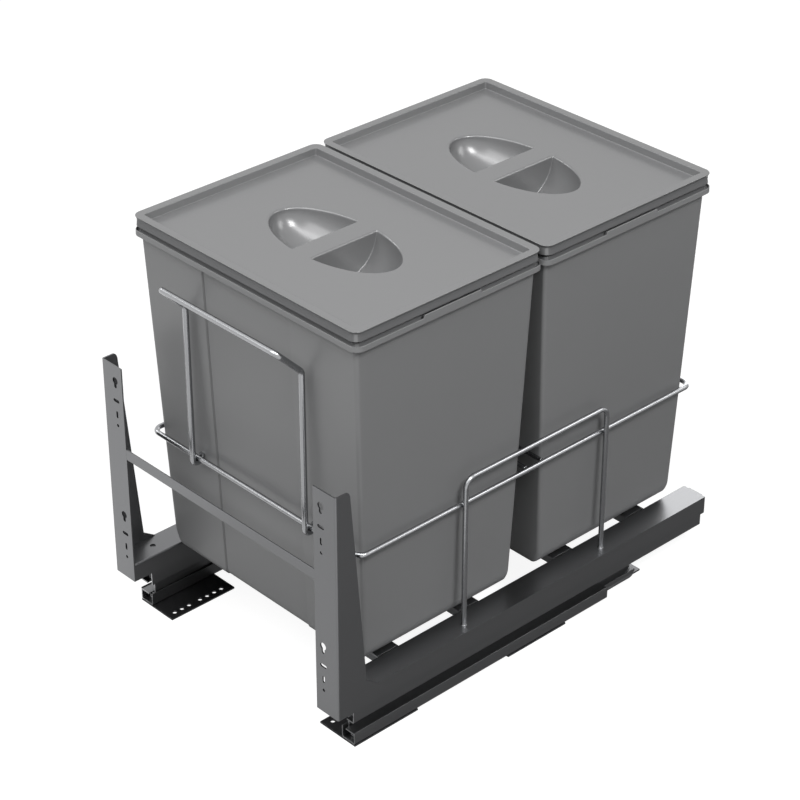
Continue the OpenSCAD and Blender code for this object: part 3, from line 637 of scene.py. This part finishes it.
def bowl(half_l, half_w, wall_x, crease, rim, field):
    """Half a grip bowl and its rounded rim, as two grids and the ring where the flat field begins.

    The bowl is an ellipse turned about the X axis and cut by a wall at wall_x. The crease between them is
    an arc that touches both. A row at (x, radius) is the arc radius times (sin, -cos) of an angle, up to
    where it meets the rim. The rim is a quarter round: out by rim times (1 - sin), down by rim times
    (1 - cos).
    """
    drop = BOWL_AXIS_Z - (field - rim)
    low, high = 0.0, np.pi / 2
    for _ in range(BISECTIONS):
        t = (low + high) / 2
        n = np.array([half_w * np.cos(t), half_l * np.sin(t)])
        n /= np.linalg.norm(n)
        if half_l * np.cos(t) - crease * n[0] > wall_x + crease:
            low = t
        else:
            high = t
    centre = np.array([wall_x + crease, half_w * np.sin(t) - crease * n[1]])
    turn = np.linspace(np.pi, np.arctan2(n[1], n[0]), 7)
    arc = centre + crease * np.stack([np.cos(turn), np.sin(turn)], axis=1)
    flat_l = half_l * np.sqrt(1 - (drop / half_w) ** 2)
    t_flat = np.arccos(np.clip(arc[-1, 0] / flat_l, -1, 1))
    x = flat_l * np.cos(np.linspace(t_flat, 0, 34)[1:])
    ellipse = np.stack([x, half_w * np.sqrt(1 - (x / half_l) ** 2)], axis=1)
    rows = np.concatenate([arc, ellipse])
    reach = np.arccos(np.clip(drop / rows[:, 1], -1, 1))
    angle = reach[:, None] * np.linspace(-1, 1, BOWL_ACROSS + 1)
    grid = np.stack([np.broadcast_to(rows[:, :1], angle.shape), rows[:, 1:] * np.sin(angle),
                     BOWL_AXIS_Z - rows[:, 1:] * np.cos(angle)], axis=2)
    top = grid[0].copy()
    top[:, 2] = field - rim
    blend = np.linspace(0, 1, 6)[:-1, None, None]
    grid = np.concatenate([top + blend * (grid[0] - top), grid])

    edge = np.concatenate([top, grid[6:, -1], grid[-2:5:-1, 0]])[:, :2]
    along_edge = np.roll(edge, -1, axis=0) - np.roll(edge, 1, axis=0)
    out = np.stack([-along_edge[:, 1], along_edge[:, 0]], axis=1)
    out /= np.linalg.norm(out, axis=1, keepdims=True)
    a = np.linspace(np.pi / 2, 0, 7)
    steps = np.append(rim * (1 - np.sin(a)), rim + 0.5)
    depths = np.append(field - rim * (1 - np.cos(a)), field)
    ring = edge[None] + steps[:, None, None] * out[None]
    return grid, carried_round(ring, depths), ring[-1]


def lid_skin(shell, field, outline, sizes):
    """One skin of a lid: the flat field between the frame and two half bowls, mirrored."""
    grid, round_rim, ring = bowl(field=field, **sizes)
    for side in (1, -1):
        flip = np.array([side, 1, 1])
        shell.grid(grid * flip)
        shell.grid(round_rim * flip, wrap=True)
    shell.fill(outline, [ring, ring * np.array([-1, 1])], field)


def skirt(middles, normals):
    """Outer side of a lid, below its top edge, where the darker finish is painted shade."""
    across = np.abs(middles[:, 0] - LID_PLACE["front"][0] * MM) > (LID_HALF[0] - SKIRT_BAND) * MM
    middle_y = np.where(middles[:, 1] < BETWEEN_BINS_Y * MM, LID_PLACE["front"][1], LID_PLACE["back"][1]) * MM
    along = np.abs(middles[:, 1] - middle_y) > (LID_HALF[1] - SKIRT_BAND) * MM
    height = middles[:, 2] - RIM_Z * MM
    return (across | along) & (height > SKIRT_LOW * MM) & (height < SKIRT_HIGH * MM)


def make_lid(where):
    """Lid: one profile carried round, a flat field, a grip bowl cut by its bar, and a locating rim."""
    inset, height = rounded(LID_PROFILE, LID_ROUNDS).T
    radius = np.interp(inset, [0, 1.5, 5.6, 9.2, 13.2], [10.2, 8.7, 4.6, 2.2, 0.8])
    spread = np.linspace(-0.85, 0.85, 6)
    ring = loops(LID_HALF[0] - inset, LID_HALF[1] - inset, radius, 140 * spread, 98 * spread)
    shell = Shell()
    shell.grid(carried_round(ring, height), wrap=True)
    lid_skin(shell, FIELD_TOP, ring[0], BOWL_TOP)
    lid_skin(shell, FIELD_UNDER, ring[-1], BOWL_UNDER)
    part, body, place = where + "_lid", where + "_lid_body", (*LID_PLACE[where], RIM_Z)
    cover = shell.build(part + "_cover", "lid_plastic", body, place, part)
    # The lid's outer side gets the darker finish: painted shade
    second_finish(cover, "painted_shade_plastic", skirt)

    rim = rounded(LOCATING_PROFILE, [0.3, 0.5, 0.5, 0.3])[:-1]
    ring = loops(LOCATING_HALF[0] - rim[:, 0], LOCATING_HALF[1] - rim[:, 0], LOCATING_CORNER - rim[:, 0],
                 120 * spread, 90 * spread)
    locating = carried_round(ring, rim[:, 1])
    collar = Shell()
    collar.grid(np.concatenate([locating, locating[:1]]), wrap=True)
    collar.build(part + "_locating_rim", "lid_plastic", body, place, part)


def gutter(middles, normals):
    """Gutter of a bin's flange, between its outer lip and its rim, where the darker finish is painted shade.
    """
    half = np.array(FLANGE_HALF)
    middle_y = np.where(middles[:, 1] < BETWEEN_BINS_Y * MM, BIN_Y["front"], BIN_Y["back"]) * MM
    inset = np.minimum(half[0] * MM - np.abs(middles[:, 0]), half[1] * MM - np.abs(middles[:, 1] - middle_y))
    at_height = (middles[:, 2] > GUTTER_LOW_Z * MM) & (middles[:, 2] < RIM_Z * MM)
    return (inset > GUTTER_INSET[0] * MM) & (inset < GUTTER_INSET[1] * MM) & at_height


def make_bin(where):
    """Bin: one profile carried round, tapering from rim to base, with the front panel sunk by its depth.

    At height z the half width and half depth are BASE_HALF + SPREAD z / BIN_H. The base edge is a quarter
    round of BASE_ROUNDS, the first along the long sides and the second at front and back. The panel is sunk
    by PANEL_DEPTH, with a narrow groove of GROOVE_DEPTH along its sides.
    """

    def plan(z, inner):
        """Half width, half depth and corner radius at height z, for the outer or the inner wall."""
        t = WALL if inner else 0
        side, end = BASE_ROUNDS[0] - t, BASE_ROUNDS[1] - t
        low_side, low_end = (np.clip(r - (z - t), 0, r) for r in (side, end))
        half_w = BASE_HALF[0] + SPREAD[0] * z / BIN_H - t - (side - np.sqrt(side ** 2 - low_side ** 2))
        half_d = BASE_HALF[1] + SPREAD[1] * z / BIN_H - t - (end - np.sqrt(end ** 2 - low_end ** 2))
        return half_w, half_d, np.interp(z - t, [0, 12, 30], [1.5, 5.5, 4.5]) - t / 2

    low = np.array([0, 0.12, 0.5, 1.1, 1.9, 2.9, 4.1, 5.5, 7, 8.5, 10.5, 13, 16, 19, 21.5])
    outer_z = np.append(low, [120, 240, WALL_TOP])
    inner_z = np.append(low + WALL, [120, 240, WALL_TOP])[::-1]
    lip = np.concatenate([rounded(LIP_PROFILE, LIP_ROUNDS)[1:], rounded(RIM_PROFILE, RIM_ROUNDS)[:-1]])
    lip_w = FLANGE_HALF[0] - lip[:, 0]
    lip_d = FLANGE_HALF[1] - np.interp(lip[:, 0], [0, 6.6, 8.9], [0, 5.9, 8.1])
    lip_r = np.interp(lip[:, 0], [0, 2.2, 6.6, 8.9], [11, 8.8, 4.5, 3.4])
    parts = (plan(outer_z, False), (lip_w, lip_d, lip_r), plan(inner_z, True))
    half_w, half_d, radius = (np.concatenate(v) for v in zip(*parts))
    z = np.concatenate([outer_z, lip[:, 1], inner_z])
    inner = np.repeat([False, True], [len(outer_z) + len(lip), len(inner_z)])
    edge = (PANEL_HALF_W - PANEL_NARROWS * z / LIP_FOOT + np.where(inner, WALL, 0))[:, None]
    edge = np.minimum(edge, half_w[:, None] - radius[:, None] - 3)
    xs = np.concatenate([-edge - 1.2, -edge - 0.9, -edge + 0.1, -edge + 0.5, -edge / 3,
                         edge / 3, edge - 0.5, edge - 0.1, edge + 0.9, edge + 1.2], axis=1)
    slope_end = TAB_HALF_L + TAB_SLOPE
    tab = np.array([[-slope_end, -TAB_HALF_L, -12, 12, TAB_HALF_L, slope_end]])
    ring = loops(half_w, half_d, radius, xs, tab)
    heights = np.broadcast_to(z[:, None], ring.shape[:2]).copy()

    panelled = np.repeat([True, False, True], [len(outer_z), len(lip), len(inner_z)])
    sunk = np.interp(np.abs(ring[..., 0]) - edge, [-0.5, -0.1, 0.9, 1.2],
                     [PANEL_DEPTH, GROOVE_DEPTH, GROOVE_DEPTH, 0])
    ring[..., 1] += np.where(panelled[:, None] & (ring[..., 1] < 0), sunk, 0)
    inset = FLANGE_HALF[0] - half_w
    shelf = (z > GUTTER_Z - 0.1) & (inset < TAB_SHELF_W)
    raised = (np.abs(ring[..., 1]) <= TAB_HALF_L + 0.01) & (np.abs(ring[..., 0]) > 150) & shelf[:, None]
    rise = np.where(inset > TAB_OUTER_W, TAB_RISE_GUTTER, TAB_RISE_LIP)[:, None]
    heights += np.where(raised, rise, 0)
    shell = Shell()
    shell.grid(np.concatenate([ring, heights[..., None]], axis=2), wrap=True)
    shell.fill(ring[0], [], 0)
    shell.fill(ring[-1], [], WALL)
    part = where + "_bin"
    tub = shell.build(part + "_tub", "bin_plastic", part + "_body", (0, BIN_Y[where], BIN_FOOT_Z), part)
    # The gutter gets the darker finish: painted shade under the lid
    second_finish(tub, "painted_shade_plastic", gutter)


for where in ("front", "back"):
    make_lid(where)
    make_bin(where)
side_wire("side_wire_left", -1)
side_wire("side_wire_right", 1)


# Studio

# Lengths in metres, turns in degrees, lens and sensor in millimetres. The floor has one tone for the light
# that it throws back, and another tone and a glow for how it is seen
AIM = Vector((0, 0, 0.2))
LAMP_DISTANCE = 3.0
WORLD_LIGHT = 0.14
FLOOR_HALF = 30
FLOOR_DROP = 0.0002
FLOOR_TONE = 0.37
FLOOR_SEEN_TONE = 0.26
FLOOR_SEEN_GLOW = 0.91
CARD_Z = 0.0003
EYE = (1.59207, -1.50958, 1.54293)
EYE_TURN = (58.97, 0, 46.98)
LENS = 111.49
SENSOR = 36


def panel(name, azimuth, elevation, size, power):
    """Rectangular area lamp at a direction from the object, facing it."""
    lamp = bpy.data.lights.new(name, "AREA")
    lamp.shape = "RECTANGLE"
    lamp.size, lamp.size_y = size
    lamp.energy = power
    obj = bpy.data.objects.new(name, lamp)
    bpy.context.scene.collection.objects.link(obj)
    a, e = radians(azimuth), radians(elevation)
    obj.location = AIM + LAMP_DISTANCE * Vector((np.cos(e) * np.cos(a), np.cos(e) * np.sin(a), np.sin(e)))
    obj.rotation_euler = (AIM - obj.location).to_track_quat("-Z", "Y").to_euler()


def seen_ray(tree):
    """1 for rays of the camera, of gloss and of glass, otherwise 0."""
    light = node(tree, "ShaderNodeLightPath")
    first = node(tree, "ShaderNodeMath", operation="MAXIMUM")
    tree.links.new(light.outputs["Is Camera Ray"], first.inputs[0])
    tree.links.new(light.outputs["Is Glossy Ray"], first.inputs[1])
    both = node(tree, "ShaderNodeMath", operation="MAXIMUM")
    tree.links.new(first.outputs[0], both.inputs[0])
    tree.links.new(light.outputs["Is Transmission Ray"], both.inputs[1])
    return both.outputs[0]


def make_world():
    """White surroundings for what is seen, and a faint light from all sides."""
    world = bpy.data.worlds.new("studio")
    bpy.context.scene.world = world
    world.use_nodes = True
    tree = world.node_tree
    sky = tree.nodes["Background"]
    sky.inputs["Color"].default_value = (1, 1, 1, 1)
    tree.links.new(ramp_between(tree, seen_ray(tree), 0, 1, WORLD_LIGHT, 1), sky.inputs["Strength"])


def grey(tone):
    """Colour of one grey tone."""
    return (tone, tone, tone, 1)


def make_floor():
    """Pale floor that glows a little where it is seen and keeps the object's shadow."""
    mesh = bpy.data.meshes.new("floor")
    far = FLOOR_HALF
    mesh.from_pydata([(-far, -far, 0), (far, -far, 0), (far, far, 0), (-far, far, 0)], [], [(0, 1, 2, 3)])
    floor = bpy.data.objects.new("floor", mesh)
    bpy.context.scene.collection.objects.link(floor)
    floor.location.z = -FLOOR_DROP
    paint = bpy.data.materials.new("pale_floor")
    paint.use_nodes = True
    tree = paint.node_tree
    shader = tree.nodes["Principled BSDF"]
    shader.inputs["Roughness"].default_value = 1
    shader.inputs["Specular IOR Level"].default_value = 0
    mix = node(tree, "ShaderNodeMix", data_type="RGBA")
    mix.inputs["A"].default_value = grey(FLOOR_TONE)
    mix.inputs["B"].default_value = grey(FLOOR_SEEN_TONE)
    tree.links.new(seen_ray(tree), mix.inputs["Factor"])
    tree.links.new(mix.outputs["Result"], shader.inputs["Base Color"])
    shader.inputs["Emission Color"].default_value = (1, 1, 1, 1)
    glow = ramp_between(tree, seen_ray(tree), 0, 1, 0, FLOOR_SEEN_GLOW)
    tree.links.new(glow, shader.inputs["Emission Strength"])
    mesh.materials.append(paint)


def reflection_card(name, corners, albedo, strength):
    """Card that only glossy rays see: it adds a reflection, no diffuse light and no shadow."""
    mesh = bpy.data.meshes.new(name)
    mesh.from_pydata(corners, [], [(0, 1, 2, 3)])
    card = bpy.data.objects.new(name, mesh)
    bpy.context.scene.collection.objects.link(card)
    card.visible_camera = card.visible_diffuse = card.visible_shadow = card.visible_transmission = False
    material = bpy.data.materials.new(name)
    material.use_nodes = True
    inputs = material.node_tree.nodes["Principled BSDF"].inputs
    inputs["Base Color"].default_value = grey(albedo)
    inputs["Emission Color"].default_value = (1, 1, 1, 1)
    inputs["Emission Strength"].default_value = strength
    inputs["Roughness"].default_value = 1
    mesh.materials.append(material)


# Corners in metres, tone and glow of each card
CARDS = {
    # Dim card that the metal reflects to its right and back: painted shade standing in for shaded floor
    "dark_card": ([(-0.17, -0.28, CARD_Z), (0.23, -0.3, CARD_Z), (1.9, 0.1, CARD_Z), (-0.17, 2.2, CARD_Z)],
                  0.12, 0.11),
    "front_card": ([(-0.2, -0.3, CARD_Z), (-0.5, -1.3, CARD_Z), (0.5, -1.3, CARD_Z), (0.5, -0.3, CARD_Z)],
                   0.26, 0.62),
    "back_card": ([(-0.42, 0.46, 0.09), (0.12, 0.46, 0.09), (0.12, 0.46, 0.43), (-0.42, 0.46, 0.43)],
                  0.8, 3.1),
    "top_card": ([(-0.1, -0.9, 1.6), (0.7, -0.5, 1.6), (0.6, -0.15, 1.75), (-0.2, -0.55, 1.75)], 0.8, 7),
    "right_card": ([(0.55, 1.1, 0.95), (1.1, 0.7, 0.95), (0.95, 0.55, 1.2), (0.45, 0.9, 1.2)], 0.8, 5),
    "left_card": ([(-1.3, -0.6, 0.85), (-1.3, -0.2, 0.85), (-1.1, -0.2, 1.15), (-1.1, -0.6, 1.15)], 0.8, 6),
}


def make_camera():
    """Camera at the photograph's viewing angle."""
    camera = bpy.data.cameras.new("camera")
    camera.lens = LENS
    camera.sensor_width = SENSOR
    eye = bpy.data.objects.new("camera", camera)
    bpy.context.scene.collection.objects.link(eye)
    eye.location = EYE
    eye.rotation_euler = [radians(turn) for turn in EYE_TURN]
    bpy.context.scene.camera = eye


panel("front_softbox", -101, 50, (3.0, 1.8), 56)
panel("right_softbox", -12, 49, (0.8, 0.8), 47)
make_world()
make_floor()
for name, (corners, albedo, strength) in CARDS.items():
    reflection_card(name, corners, albedo, strength)
make_camera()
bpy.context.scene.view_settings.view_transform = "Standard"
